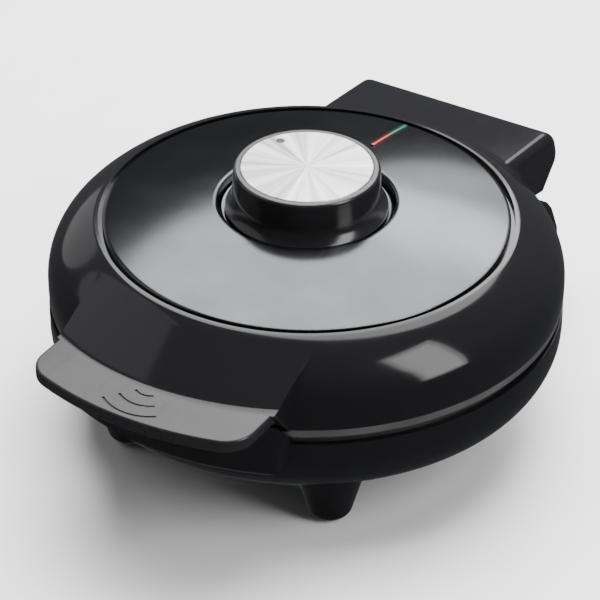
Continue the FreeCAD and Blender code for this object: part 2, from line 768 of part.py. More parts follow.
def make_flare():
    """Cone that leaves the dome at a tangent and runs down to the shelf, cut off square at the cheeks."""
    centre_radius, centre_height = crown_centre()
    slope = D.flare_angle
    leave = (centre_radius + D.crown_arc * slope.sine(), centre_height + D.crown_arc * slope.cosine())
    corner = leave[0] + (leave[1] - D.shelf_top) * slope.cosine() / slope.sine()
    tangent = D.flare_foot_arc * (slope / 2).sine() / (slope / 2).cosine()
    ring = revolved("flare_ring", [
        (leave[0] - 0.5, D.lid_rim), (D.cheek_foot, D.lid_rim), (D.cheek_reach, D.cheek_tip),
        (D.cheek_reach, D.shelf_top), (corner + tangent, D.shelf_top, -D.flare_foot_arc),
        (corner - tangent * slope.cosine(), D.shelf_top + tangent * slope.sine()), leave,
        (leave[0] - 0.5, leave[1] - 0.5)])
    half = D.cheek_half_width
    width = box("flare_width", (-half, -D.shelf_reach, D.lid_rim - 1.0), (half, -60.0, D.dome_top))
    return shared("flare", [ring, width])


def make_shelf():
    """Horizontal grip shelf with a rounded rim, concentric with the body in front."""
    half = D.shelf_half_width
    corner = D.shelf_corner
    inner = D.shelf_reach - corner
    centre_x = half - corner
    centre_y = (inner * inner - centre_x * centre_x).root()
    front_x = centre_x * D.shelf_reach / inner
    front_y = centre_y * D.shelf_reach / inner
    root = D.body_radius - 5.0
    body = padded("shelf", "XY_Plane", [
        (-half, -root), (-half, -centre_y, corner), (-front_x, -front_y, D.shelf_reach), (front_x, -front_y, corner),
        (half, -centre_y), (half, -root)], D.shelf_top - D.shelf_thickness, D.shelf_top)
    return rounded(body, "shelf_rim", D.shelf_edge, lambda edge: is_flat_edge(edge) and not is_root_edge(edge))


def is_flat_edge(edge):
    box_of_edge = edge.BoundBox
    return box_of_edge.ZLength < 0.01


def is_root_edge(edge):
    box_of_edge = edge.BoundBox
    return box_of_edge.YLength < 0.01


def make_grip_marks():
    """Three shallow arcs in the shelf's top."""
    turned = 270.0 - DIMENSIONS["grip_mark_angle"] / 2
    place = (0, -D.grip_mark_centre, D.shelf_top + 0.1)
    return [torus("grip_mark_%d" % step, step * D.grip_mark_step, D.grip_mark_width / 2, place,
                  D.grip_mark_angle, turned) for step in (1, 2, 3)]


def lens_slot(name, growth, low, high):
    start = D.lens_start - growth
    end = D.lens_start + 2 * D.lens_length + growth
    half = D.lens_width / 2 + growth
    return box(name, (-half, start, low), (half, end, high))


def make_upper_housing():
    shell = revolved("dome_shell", upper_housing_profile())
    solid = fused("lid_outside", [make_lid_block(), make_shelf(), make_flare()])
    room = revolved("lid_room", lid_room_profile())
    half = D.hinge_half_width
    hollow = padded("lid_block_hollow", "YZ_Plane", lid_hinge_section(D.wall), D.wall - half, half - D.wall)
    outside = cut("lid_additions", solid, [room, hollow])
    bosses = []
    holes = []
    for index, (x, y) in enumerate(on_ring(D.boss_ring, HOUSING_SCREW_ANGLES)):
        start = D.upper_plate_bottom + D.frame_flange
        bosses.append(cylinder("lid_boss_%d" % index, D.boss_radius, 19.0, (x, y, start)))
        holes.append(cylinder("lid_boss_hole_%d" % index, D.screw_shank + FIT, 15.0, (x, y, start - 1.0)))
    for index, (x, y) in enumerate(on_ring(plate_screw_ring(), PLATE_SCREW_ANGLES)):
        start = D.upper_reflector_height + D.reflector_sheet
        top = D.dish_floor - 2.0
        bosses.append(cylinder("deck_boss_%d" % index, D.boss_radius, top - start, (x, y, start)))
        holes.append(cylinder("deck_boss_hole_%d" % index, D.screw_shank + FIT, 12.0, (x, y, start - 1.0)))
    lid_web = [(D.hinge_y - 4.4, D.hinge_z), (D.hinge_y + 4.3, D.hinge_z + 1.0), (D.hinge_y + 8.0, D.hinge_z + 9.0),
               (D.hinge_y - 2.0, D.hinge_z + 9.0)]
    knuckles = knuckle_pair("lid_knuckle", D.lid_knuckle_x, 0.0, 0.0)
    webs = web_pair("lid_web", D.lid_knuckle_x, lid_web)
    room_for_base = knuckle_pair("base_knuckle_room", base_knuckle_x(), D.knuckle_clearance, D.knuckle_side_gap)
    cleared = cut("lid_cleared", fused("lid_shells", [shell, outside]), room_for_base)
    whole = fused("lid_with_bosses", [cleared] + bosses + knuckles + webs)
    holes.append(lens_slot("deck_lens_slot", as_size(FIT), D.dish_floor - 12.0, D.dome_top))
    tools = holes + make_grip_marks() + pin_holes("lid_pin_hole")
    sharp = cut("upper_housing_sharp", whole, tools)
    doc.recompute()
    blend = doc.addObject("Part::Fillet", "upper_housing_shape")
    blend.Base = sharp
    radius = DIMENSIONS["block_blend"]
    blend.Edges = [(number, radius, radius) for number, edge in enumerate(sharp.Shape.Edges, start=1)
                   if is_block_foot(edge)]
    return node(blend, "upper_housing")


def is_block_foot(edge):
    """True for the long edge where the top of the hinge block meets the dome."""
    bounds = edge.BoundBox
    outside = bounds.YMax > DIMENSIONS["block_foot_reach"] and bounds.ZMin > DIMENSIONS["block_foot_height"]
    return outside and bounds.XLength > DIMENSIONS["hinge_half_width"] and bounds.YMax < DIMENSIONS["body_radius"]


def lid_room_profile():
    """Everything inside the dome shell, which the blocks outside it may not fill."""
    knee = knee_of_shoulder(D.wall)
    top = dome_height(D.top_plate_radius, 0.0) - 4.9
    return [(0.0, D.lid_rim - 20.0), (D.body_radius - D.wall, D.lid_rim - 20.0),
            (D.body_radius - D.wall, D.waist_height, D.shoulder_arc - D.wall),
            (knee[0], knee[1], D.crown_arc - D.wall), (crown_reach(top, D.wall), top), (0.0, top)]


def make_top_plate():
    """Domed sheet with a turned-down edge and a sunk dish."""
    sphere = D.dome_sphere
    sheet_gauge = D.top_plate_sheet
    edge = D.top_plate_radius
    dish = D.dish_radius
    floor = D.dish_floor
    hole = D.spindle_radius + 2.5
    skirt = dome_height(edge, 0.0) - 2.1
    body = revolved("top_plate_sheet", [
        (edge, skirt), (edge, dome_height(edge, 0.0) - 0.5), (edge - 0.6, dome_height(edge - 0.6, 0.0), sphere),
        (dish + 0.5, dome_height(dish + 0.5, 0.0), 2.5), (dish - 0.5, dome_height(dish, 0.0) - 0.7),
        (dish - D.dish_slope, floor), (hole, floor), (hole, floor - sheet_gauge),
        (dish - D.dish_slope + 0.6, floor - sheet_gauge), (dish + 0.5, dome_height(dish, 0.0) - 1.6),
        (dish + 1.2, dome_height(dish + 1.2, sheet_gauge), -sphere),
        (edge - sheet_gauge, dome_height(edge - sheet_gauge, sheet_gauge)), (edge - sheet_gauge, skirt)])
    slot = lens_slot("plate_lens_slot", as_size(FIT), D.dish_floor - 12.0, D.dome_top + 5.0)
    return node(cut("top_plate_shape", body, [slot]), "top_plate")


def make_lenses():
    """Two halves of one light strip that follows the dome."""
    for index, colour in enumerate(("red", "green")):
        start = D.lens_start + index * D.lens_length
        low = dome_height(start, 3.6)
        slab = revolved(colour + "_lens_slab", [
            (20.0, dome_height(20.0, 3.4)), (D.top_plate_radius, dome_height(D.top_plate_radius, 3.4)),
            (D.top_plate_radius, dome_height(D.top_plate_radius, -0.25), D.dome_sphere),
            (20.0, dome_height(20.0, -0.25))])
        half = D.lens_width / 2
        strip = box(colour + "_lens_strip", (-half, start, low - 10.0), (half, start + D.lens_length, D.dome_top))
        node(shared(colour + "_lens_shape", [slab, strip]), colour + "_indicator_lens")


def lamp_start(index):
    return D.lens_start + index * D.lens_length + 2.0


def make_lamps():
    length = D.lens_length - 4.0
    beds = []
    for index, colour in enumerate(("red", "green")):
        place = (0, lamp_start(index), D.lamp_height)
        node(cylinder(colour + "_lamp_shape", D.lamp_radius, length, place, "y"), colour + "_neon_lamp")
        beds.append(cylinder(colour + "_lamp_bed", D.lamp_radius + FIT, length + 0.2,
                             (0, lamp_start(index) - 0.1, D.lamp_height), "y"))
    floor = D.upper_reflector_height + D.reflector_sheet
    block = box("lamp_block", (-5.0, D.lens_start, floor), (5.0, D.lens_start + 2 * D.lens_length, D.lamp_height))
    return node(cut("lamp_holder_shape", block, beds), "lamp_holder")


def make_upper_frame():
    low = D.upper_plate_bottom
    flange = low + D.frame_flange
    skirt = D.upper_frame_skirt
    ring = revolved("upper_frame_ring", [
        (D.frame_inner, low), (D.lip_radius, low), (D.lip_radius, D.lid_rim - 0.1), (skirt, D.lid_rim - 0.1),
        (skirt, D.upper_frame_top), (skirt - 2.5, D.upper_frame_top), (skirt - 2.5, flange), (D.frame_inner, flange)])
    holes = frame_holes("upper_frame_hole", low - 1.0, flange + 1.0)
    for index, (x, y) in enumerate(on_ring(D.boss_ring, HOUSING_SCREW_ANGLES)):
        holes.append(cylinder("upper_frame_well_%d" % index, D.screw_head + 0.2, D.screw_head_height + 1.2,
                              (x, y, low - 1.0)))
    return node(cut("upper_frame_shape", ring, holes), "upper_plate_frame")


def make_thermostat():
    half = D.thermostat_width / 2
    top = D.dish_floor - D.top_plate_sheet - 2.7
    low = top - D.thermostat_height
    case = box("thermostat_case", (-half, -half, low), (half, half, top))
    bore = cylinder("thermostat_bore", D.spindle_radius + FIT, 20.0, (0, 0, D.spindle_bottom - FIT))
    node(cut("thermostat_shape", case, [bore]), "thermostat_body")
    floor = D.upper_reflector_height + D.reflector_sheet
    block = box("bracket_block", (-half, -6.0, floor), (half, 6.0, low))
    gap = box("bracket_gap", (1.2 - half, -7.0, floor + 1.2), (half - 1.2, 7.0, low - 1.2))
    node(cut("bracket_shape", block, [gap]), "thermostat_bracket")


def make_fuse():
    floor = D.upper_reflector_height + D.reflector_sheet
    node(cylinder("fuse_shape", 3.0, 24.0, (-12.0, -48.0, floor + 3.0), "x"), "thermal_fuse")


# Knob ------------------------------------------------------------------------------------------------------

def make_knob():
    low = D.knob_bottom
    top = D.knob_top
    seat = D.knob_face_top - D.knob_face_sheet
    face = D.knob_face_radius + 0.2
    hub = D.spindle_radius + 3.5
    hole = D.spindle_radius
    hollow = seat - 3.0
    body = revolved("knob_shell", [
        (D.knob_skirt - 3.0, low), (D.knob_skirt - 0.4, low), (D.knob_skirt, low + 0.4), (D.knob_skirt, low + 1.2),
        (D.knob_skirt - 0.6, low + 1.8, -10.0), (D.knob_neck, low + 7.5), (D.knob_rim + 0.2, top - 1.5, 1.5),
        (D.knob_rim - 1.0, top), (face, top), (face, seat), (0.0, seat), (0.0, D.spindle_top), (hole, D.spindle_top),
        (hole, low + 1.0), (hub, low + 1.0), (hub, hollow), (D.knob_neck - 3.0, hollow)])
    node(body, "control_knob")


def make_knob_face():
    seat = D.knob_face_top - D.knob_face_sheet
    radius = D.knob_face_radius
    top = D.knob_face_top
    disc = revolved("face_disc", [(0.0, seat), (radius, seat), (radius, top - 0.4), (radius - 0.4, top), (0.0, top)])
    depth = 0.5
    place = (D.index_x, D.index_y, top - depth)
    well = cylinder("index_well", D.index_radius, depth + 1.0, place)
    node(cut("knob_face_shape", disc, [well]), "knob_face")
    node(cylinder("index_shape", D.index_radius, depth - 0.1, place), "knob_index_dot")


def make_spindle():
    length = D.spindle_top - D.spindle_bottom
    node(cylinder("spindle_shape", D.spindle_radius, length, (0, 0, D.spindle_bottom)), "thermostat_spindle")


def make_base():
    make_lower_housing()
    make_lower_frame()
    make_cooking_plate("lower_cooking_plate", D.lower_plate_top, -1)
    depth = D.donut_tube + D.mould_wall + D.element_tube + 0.1
    make_element("lower_heating_element", D.lower_plate_top - depth, -1)
    make_reflector("lower_heat_reflector", D.lower_reflector_height, 1)
    plate_places = on_ring(plate_screw_ring(), PLATE_SCREW_ANGLES)
    screw_group("lower_plate_screws", plate_places, 26.0, D.lower_plate_top - 0.4, False)
    screw_group("lower_housing_screws", on_ring(D.boss_ring, HOUSING_SCREW_ANGLES),
                46.0 - D.screw_head_height, D.lower_plate_top - 1.2, True)
    make_feet()
    make_gland()
    make_terminal_block()
    make_hinge_pins()


def make_lid():
    make_upper_housing()
    make_top_plate()
    make_lenses()
    make_lamps()
    make_upper_frame()
    make_cooking_plate("upper_cooking_plate", D.upper_plate_bottom, 1)
    depth = D.donut_tube + D.mould_wall + D.element_tube + 0.1
    make_element("upper_heating_element", D.upper_plate_bottom + depth, 1)
    make_reflector("upper_heat_reflector", D.upper_reflector_height, -1)
    plate_places = on_ring(plate_screw_ring(), PLATE_SCREW_ANGLES)
    screw_group("upper_plate_screws", plate_places, D.upper_plate_bottom + 0.4, 92.0, True)
    screw_group("upper_housing_screws", on_ring(D.boss_ring, HOUSING_SCREW_ANGLES),
                D.upper_plate_bottom + 0.2, 80.0, True)
    make_thermostat()
    make_fuse()


def make_knob_group():
    make_knob()
    make_knob_face()
    make_spindle()


def check_and_export():
    """Stops on any failed object, then writes one file per sub-part."""
    doc.recompute()
    failed = [item.Name for item in doc.Objects if any(state in PART_STATES_THAT_FAIL for state in item.State)]
    if failed:
        raise RuntimeError("failed objects: " + ", ".join(failed))
    os.makedirs("parts", exist_ok=True)
    for feature in NODES:
        shape = feature.Shape
        if shape.isNull() or not shape.isValid():
            raise RuntimeError("bad shape: " + feature.Label)
        shape.exportStep(os.path.join("parts", feature.Label + ".step"))
        print("%-24s %2d solids %9.1f mm3" % (feature.Label, len(shape.Solids), shape.Volume))


make_base()
make_lid()
make_knob_group()
check_and_export()
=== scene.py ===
from math import acos, cos, degrees, pi, radians, sin, sqrt, tan

import bmesh
import bpy
from mathutils import Matrix, Vector


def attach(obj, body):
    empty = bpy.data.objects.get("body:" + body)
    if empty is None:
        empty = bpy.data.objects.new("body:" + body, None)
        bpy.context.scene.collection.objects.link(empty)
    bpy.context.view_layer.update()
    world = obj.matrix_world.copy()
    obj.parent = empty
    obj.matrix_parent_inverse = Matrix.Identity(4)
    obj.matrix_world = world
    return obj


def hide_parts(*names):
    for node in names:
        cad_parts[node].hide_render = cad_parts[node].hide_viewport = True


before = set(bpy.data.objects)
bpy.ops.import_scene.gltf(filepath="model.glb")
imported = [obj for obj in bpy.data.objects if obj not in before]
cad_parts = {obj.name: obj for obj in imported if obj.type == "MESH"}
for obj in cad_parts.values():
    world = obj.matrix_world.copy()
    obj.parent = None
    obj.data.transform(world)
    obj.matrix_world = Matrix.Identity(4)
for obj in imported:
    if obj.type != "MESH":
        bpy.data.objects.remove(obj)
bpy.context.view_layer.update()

MM = 0.001

# The round forms in millimetres, as (radius, height) where there are two numbers; angles are in degrees.
# Lid: from the rim over the shoulder and crown to the groove round the disc.
BODY_RADIUS = 115.0
LID_RIM = 68.1
SHOULDER = (90.0, 73.5)
SHOULDER_ARC = 25.0
SHOULDER_ANGLE = 41.3
CROWN_ARC = 45.0
CROWN_START = 93.7
GROOVE_RADIUS = 92.0
GROOVE_FLOOR = 98.2
RIM_ROLL = 0.9
RIM_ROLL_END = 82.0
# Bowl: from its rim round the belly.
BASE_RIM = 60.6
BELLY = (91.0, 51.5)
BELLY_ARC = 24.0
BELLY_END = -43.0
# Eased lip of both rims: how far in and how far along.
LIP_IN = 0.4
LIP_IN_MIDWAY = 0.1
LIP_ALONG = 0.5
LIP_ALONG_MIDWAY = 0.15
# Disc with its sunk dish.
DOME_TOP = 111.0
DOME_SPHERE = 425.0
DISC_RADIUS = 90.0
DISC_SKIRT = 2.0
DISC_RINGS = 40
EDGE_ROLL = 0.6
EDGE_ROLL_END = 76.0
DISH_RADIUS = 40.0
DISH_FLOOR = 105.0
DISH_SLOPE = 2.4
DISH_UNDERSIDE = 1.2
SPINDLE_HOLE = 5.5
# The dome's rings start this far inside the disc's edge, and leave this much of its width out in all.
DOME_INSET = 0.7
DOME_TRIM = 2.0
# Rounding where the dome tips into the dish and where the slope meets its floor, as (outwards, upwards).
BRINK_ROUNDING = ((0.6, -0.06), (0.1, -0.25), (-0.4, -0.65))
FOOT_ROUNDING = ((0.35, 0.45), (0.0, 0.1), (-0.5, 0.0))
# Light strip: two rounded bars end to end along +Y.
STRIP_START = 57.0
STRIP_LENGTH = 31.0
STRIP_HALF = 1.45
STRIP_RISE = 0.8
STRIP_DEPTH = 3.0
STRIP_EASE = 1.6
STRIP_END_SHARE = 0.75
STRIP_ROWS = 24
STRIP_FACETS = 16
# Handle shelf: satin, with a paler colour painted on as a sheen, beyond the radius where the flare ends,
# reached over SHELF_FADE. It is only in front, and fades out over SHELF_FRONT along Y.
SHELF_START = 124.8
SHELF_FADE = 0.4
SHELF_FRONT = (-90.0, -80.0)
# What satin adds to the shell's roughness, the gloss's colour, and the paler colour painted on the shelf as
# a sheen.
SATIN = 0.17
SHELL_COLOUR = (0.0050, 0.0050, 0.0056)
PAINTED_SHELF_SHEEN = (0.010, 0.010, 0.011)
# Thickness of the turned skins, and how far the CAD surface is drawn in under them.
SKIN = 0.5
TUCK = 0.02
# Edges sharper than this stay sharp.
SHARP_ANGLE = 38.0
# Steps round the axis, steps along the arcs of a skin, and which of the dome's rings its inside repeats.
SEGMENTS = 320
SHOULDER_STEPS = 26
BELLY_STEPS = 24
INSIDE_STEPS = 12
RIM_STEPS = 8
EDGE_STEPS = 6
INSIDE_STRIDE = 4

# Texture scales over a metre.
CLOUDS = 46.0
HANDLING = 23.0
SCRATCHES = 420.0
WAVES = 34.0
SPUN_RINGS = 900.0
COAT_ROUGHNESS = 0.03
LENS_TRANSMISSION = 0.25

# Camera: a long lens, to the right of the front and above. Lengths in millimetres, angles in degrees.
CAMERA_AZIMUTH = 31.28
CAMERA_ELEVATION = 34.24
CAMERA_ROLL = 0.24
CAMERA_LENS = 177.06
CAMERA_SENSOR = 36.0
CAMERA_DISTANCE = 1300.0
CAMERA_ASIDE = -2.8
CAMERA_RAISED = -38.1
CAMERA_TARGET = (0.0, 0.0, 101.5)

# Metres: how far the camera sees, half the floor's side, and the point that the lights face.
CAMERA_FAR = 20.0
FLOOR_HALF = 4.0
LIGHT_AIM = (0.0, 0.0, 0.06)
# Cells along each side of the floor.
FLOOR_CELLS = 8


# ---------------------------------------------------------------- materials

class Shader:
    """A material being wired up: one principled surface and the textures that feed it."""

    def __init__(self, name):
        self.material = bpy.data.materials.new(name)
        self.material.use_nodes = True
        self.tree = self.material.node_tree
        self.surface = self.tree.nodes["Principled BSDF"]
        self.place = self.node("ShaderNodeTexCoord").outputs["Object"]

    def node(self, kind, **settings):
        made = self.tree.nodes.new(kind)
        for key, value in settings.items():
            setattr(made, key, value)
        return made

    def link(self, source, target):
        self.tree.links.new(source, target)

    def noise(self, scale, detail=4.0, stretch=(1.0, 1.0, 1.0)):
        mapping = self.node("ShaderNodeMapping")
        mapping.inputs["Scale"].default_value = stretch
        self.link(self.place, mapping.inputs["Vector"])
        made = self.node("ShaderNodeTexNoise")
        made.inputs["Scale"].default_value = scale
        made.inputs["Detail"].default_value = detail
        self.link(mapping.outputs["Vector"], made.inputs["Vector"])
        return made.outputs["Fac"]

    def spread(self, value, low, high, from_low=0.3, from_high=0.7):
        made = self.node("ShaderNodeMapRange")
        made.inputs["From Min"].default_value = from_low
        made.inputs["From Max"].default_value = from_high
        made.inputs["To Min"].default_value = low
        made.inputs["To Max"].default_value = high
        self.link(value, made.inputs["Value"])
        return made.outputs["Result"]

    def from_axis(self):
        """The place with its height left out."""
        made = self.node("ShaderNodeVectorMath", operation="MULTIPLY")
        self.link(self.place, made.inputs[0])
        made.inputs[1].default_value = (1.0, 1.0, 0.0)
        return made.outputs["Vector"]

    def sum(self, first, second):
        made = self.node("ShaderNodeMath", operation="ADD")
        self.link(first, made.inputs[0])
        self.link(second, made.inputs[1])
        return made.outputs[0]

    def tint(self, value, dark, light):
        made = self.node("ShaderNodeMix", data_type="RGBA")
        self.link(value, made.inputs["Factor"])
        made.inputs[6].default_value = (*dark, 1.0)
        made.inputs[7].default_value = (*light, 1.0)
        self.link(made.outputs[2], self.surface.inputs["Base Color"])

    def relief(self, height, depth, below=None):
        made = self.node("ShaderNodeBump")
        made.inputs["Distance"].default_value = depth
        made.inputs["Strength"].default_value = 1.0
        self.link(height, made.inputs["Height"])
        if below:
            self.link(below, made.inputs["Normal"])
        return made.outputs["Normal"]

    def rings(self, scale):
        made = self.node("ShaderNodeTexWave", wave_type="RINGS", rings_direction="Z")
        made.inputs["Scale"].default_value = scale
        made.inputs["Distortion"].default_value = 0.6
        made.inputs["Detail"].default_value = 3.0
        made.inputs["Detail Scale"].default_value = 4.0
        self.link(self.place, made.inputs["Vector"])
        return made.outputs["Fac"]


def finish_for(name, dark, light, rough, metallic=0.0, coat=0.0, grain=2600.0, depth=0.000004, wear=0.05,
               streak=(1.0, 1.0, 1.0), ior=1.5, waviness=0.00001, specular=0.5):
    """A surface with cloudy colour, worn roughness with fine scratches, and a grain with slow waves."""
    made = Shader(name)
    surface = made.surface
    surface.inputs["Metallic"].default_value = metallic
    surface.inputs["IOR"].default_value = ior
    surface.inputs["Specular IOR Level"].default_value = specular
    surface.inputs["Coat Weight"].default_value = coat
    surface.inputs["Coat Roughness"].default_value = COAT_ROUGHNESS
    made.tint(made.spread(made.noise(CLOUDS, 6.0), 0.0, 1.0), dark, light)
    handled = made.spread(made.noise(HANDLING, 5.0), rough[0], rough[1])
    scratched = made.spread(made.noise(SCRATCHES, 3.0, (1.0, 0.06, 0.3)), 0.0, wear, 0.58, 0.8)
    made.roughness = made.sum(handled, scratched)
    made.link(made.roughness, surface.inputs["Roughness"])
    grained = made.relief(made.noise(grain, 2.0, streak), depth)
    made.link(made.relief(made.noise(WAVES, 2.0), waviness, grained), surface.inputs["Normal"])
    return made


def add_satin_shelf_and_painted_sheen(shell):
    """The handle's flat shelf is satin, with a paler colour painted on it as a sheen. Its colours replace
    the finish's own clouds.
    """
    reach = shell.node("ShaderNodeVectorMath", operation="LENGTH")
    shell.link(shell.from_axis(), reach.inputs[0])
    beyond = shell.spread(reach.outputs["Value"], 0.0, SATIN,
                          (SHELF_START - SHELF_FADE) * MM, SHELF_START * MM)
    split = shell.node("ShaderNodeSeparateXYZ")
    shell.link(shell.place, split.inputs["Vector"])
    ahead = shell.spread(split.outputs["Y"], 1.0, 0.0, SHELF_FRONT[0] * MM, SHELF_FRONT[1] * MM)
    satin_and_painted_sheen = shell.node("ShaderNodeMath", operation="MULTIPLY")
    shell.link(beyond, satin_and_painted_sheen.inputs[0])
    shell.link(ahead, satin_and_painted_sheen.inputs[1])
    shell.link(shell.sum(shell.roughness, satin_and_painted_sheen.outputs[0]), shell.surface.inputs["Roughness"])
    # Paints the shelf's paler sheen into the base colour.
    shell.tint(shell.spread(satin_and_painted_sheen.outputs[0], 0.0, 1.0, 0.0, SATIN), SHELL_COLOUR, PAINTED_SHELF_SHEEN)


def spun_finish_and_painted_fan():
    """Fine turned rings and an anisotropic sheen, with a fan of lighter and darker sectors round the axis
    painted into the colour as reflection.
    """
    spun = Shader("spun_aluminium")
    spun.surface.inputs["Metallic"].default_value = 1.0
    spun.surface.inputs["Anisotropic"].default_value = 0.85
    tangent = spun.node("ShaderNodeTangent", direction_type="RADIAL", axis="Z")
    spun.link(tangent.outputs["Tangent"], spun.surface.inputs["Tangent"])
    outward = spun.node("ShaderNodeVectorMath", operation="NORMALIZE")
    spun.link(spun.from_axis(), outward.inputs[0])
    # The fan of sectors is reflection painted into the base colour.
    painted_fan = spun.node("ShaderNodeTexNoise")
    painted_fan.inputs["Scale"].default_value = 2.6
    painted_fan.inputs["Detail"].default_value = 9.0
    painted_fan.inputs["Roughness"].default_value = 0.72
    spun.link(outward.outputs["Vector"], painted_fan.inputs["Vector"])
    spun.tint(spun.spread(painted_fan.outputs["Fac"], 0.0, 1.0, 0.38, 0.62), (0.26, 0.26, 0.27),
              (0.80, 0.80, 0.81))
    grooves = spun.rings(SPUN_RINGS)
    worn = spun.spread(spun.noise(30.0), 0.0, 0.05)
    spun.link(spun.sum(spun.spread(grooves, 0.20, 0.30, 0.0, 1.0), worn), spun.surface.inputs["Roughness"])
    spun.link(spun.relief(grooves, 0.0000012), spun.surface.inputs["Normal"])
    return spun


def make_materials():
    """Every slot's material by name."""
    made = {
        # The lighter cloud colour here is the shelf's painted sheen; the shelf step replaces these clouds.
        "gloss_shell": finish_for("gloss_shell", SHELL_COLOUR, PAINTED_SHELF_SHEEN, (0.07, 0.12),
                                  depth=0.0000006, wear=0.04, waviness=0.000002, specular=0.36),
        "matte_trim": finish_for("matte_trim", (0.030, 0.030, 0.031), (0.052, 0.052, 0.053), (0.42, 0.55),
                                 depth=0.00002),
        "knob_black": finish_for("knob_black", (0.005, 0.005, 0.0055), (0.010, 0.010, 0.011), (0.12, 0.20),
                                 depth=0.000002),
        "cast_plate": finish_for("cast_plate", (0.018, 0.018, 0.018), (0.040, 0.039, 0.038), (0.30, 0.44),
                                 metallic=0.35, grain=1500.0, depth=0.00003, wear=0.12),
        "element_steel": finish_for("element_steel", (0.16, 0.13, 0.11), (0.34, 0.31, 0.28), (0.35, 0.5),
                                    metallic=1.0, wear=0.15),
        "reflector": finish_for("reflector", (0.70, 0.71, 0.72), (0.86, 0.86, 0.87), (0.18, 0.30),
                                metallic=1.0, wear=0.15, streak=(1.0, 0.04, 1.0)),
        "zinc_screws": finish_for("zinc_screws", (0.42, 0.42, 0.40), (0.66, 0.66, 0.64), (0.26, 0.40),
                                  metallic=1.0, wear=0.2),
        "hinge_steel": finish_for("hinge_steel", (0.40, 0.40, 0.41), (0.62, 0.62, 0.63), (0.18, 0.30),
                                  metallic=1.0, wear=0.2),
        "rubber_pads": finish_for("rubber_pads", (0.010, 0.010, 0.010), (0.022, 0.022, 0.022), (0.68, 0.85),
                                  depth=0.00004),
        "ceramic_white": finish_for("ceramic_white", (0.72, 0.70, 0.66), (0.84, 0.82, 0.79), (0.38, 0.52),
                                    depth=0.00001),
        "index_paint": finish_for("index_paint", (0.006, 0.006, 0.006), (0.014, 0.014, 0.014), (0.30, 0.42),
                                  depth=0.000006),
    }
    add_satin_shelf_and_painted_sheen(made["gloss_shell"])
    made["dark_steel"] = finish_for("dark_steel", (0.078, 0.080, 0.083), (0.092, 0.094, 0.098), (0.15, 0.18),
                                    metallic=1.0, depth=0.0000005, wear=0.03, waviness=0.000001)
    made["spun_aluminium"] = spun_finish_and_painted_fan()
    for name, dark, light, glow in (("red_lens", (0.07, 0.003, 0.004), (0.12, 0.005, 0.007), 0.03),
                                    ("green_lens", (0.003, 0.030, 0.021), (0.006, 0.055, 0.038), 0.03),
                                    ("lamp_glass", (0.55, 0.40, 0.30), (0.80, 0.66, 0.55), 0.0)):
        lens = finish_for(name, dark, light, (0.06, 0.14), coat=0.6, depth=0.000003)
        lens.surface.inputs["Transmission Weight"].default_value = LENS_TRANSMISSION
        lens.surface.inputs["Emission Color"].default_value = (*light, 1.0)
        lens.surface.inputs["Emission Strength"].default_value = glow
        made[name] = lens
    return {name: shader.material for name, shader in made.items()}


MATERIALS = make_materials()


def paint_cad_nodes():
    """Gives each CAD node's slots the finish of the same name, whatever number follows the name."""
    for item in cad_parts.values():
        for place in item.material_slots:
            place.material = MATERIALS[place.material.name.split(".")[0]]


# ---------------------------------------------------------------- smooth turned skins over the CAD shells

def arc(centre, radius, start, end, steps):
    """Points along an arc in the (radius, height) plane; angles in degrees from the horizontal."""
    turns = [radians(start + (end - start) * step / steps) for step in range(steps + 1)]
    return [(centre[0] + radius * cos(turn), centre[1] + radius * sin(turn)) for turn in turns]


def dome_height(radius):
    """Height of the disc's shallow dome."""
    return DOME_TOP - DOME_SPHERE + sqrt(DOME_SPHERE ** 2 - radius ** 2)


def finished(built, name, slot, body):
    """Turns a built mesh into a smooth-shaded piece that takes its slot's material and rides its body."""
    mesh = bpy.data.meshes.new(name)
    built.to_mesh(mesh)
    built.free()
    mesh.polygons.foreach_set("use_smooth", [True] * len(mesh.polygons))
    mesh.set_sharp_from_angle(angle=radians(SHARP_ANGLE))
    mesh.materials.append(MATERIALS[slot])
    piece = bpy.data.objects.new(name, mesh)
    bpy.context.scene.collection.objects.link(piece)
    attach(piece, body)
    return piece


def turned(name, outside, inside, slot, body):
    """A closed ring turned round the body's axis from the line outside and back along the line inside."""
    profile = outside + list(reversed(inside))
    built = bmesh.new()
    rings = []
    for step in range(SEGMENTS):
        turn = 2 * pi * step / SEGMENTS
        rings.append([built.verts.new((r * MM * cos(turn), r * MM * sin(turn), z * MM)) for r, z in profile])
    for here, there in zip(rings, rings[1:] + rings[:1]):
        for index in range(len(profile)):
            after = (index + 1) % len(profile)
            built.faces.new((here[index], there[index], there[after], here[after]))
    bmesh.ops.recalc_face_normals(built, faces=built.faces)
    return finished(built, name, slot, body)


def make_lens_bar(name, start, end, slot, node):
    """One half of the light strip: a rounded bar that follows the dome, with its outer corners eased."""
    built = bmesh.new()
    rows = []
    for step in range(STRIP_ROWS + 1):
        along = start + (end - start) * step / STRIP_ROWS
        from_start = STRIP_END_SHARE + (along - STRIP_START) / STRIP_EASE
        from_end = STRIP_END_SHARE + (STRIP_START + STRIP_LENGTH - along) / STRIP_EASE
        ease = min(1.0, from_start, from_end)
        top = dome_height(along)
        turns = [pi * facet / STRIP_FACETS for facet in range(STRIP_FACETS + 1)]
        outline = [(STRIP_HALF * ease * cos(turn), top + STRIP_RISE * ease * sin(turn)) for turn in turns]
        outline += [(-STRIP_HALF * ease, top - STRIP_DEPTH), (STRIP_HALF * ease, top - STRIP_DEPTH)]
        rows.append([built.verts.new((x * MM, along * MM, z * MM)) for x, z in outline])
    count = len(rows[0])
    for here, there in zip(rows, rows[1:]):
        for index in range(count):
            after = (index + 1) % count
            built.faces.new((here[index], here[after], there[after], there[index]))
    built.faces.new(rows[0])
    built.faces.new(rows[-1])
    bmesh.ops.recalc_face_normals(built, faces=built.faces)
    piece = finished(built, name, slot, "lid")
    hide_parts(node)


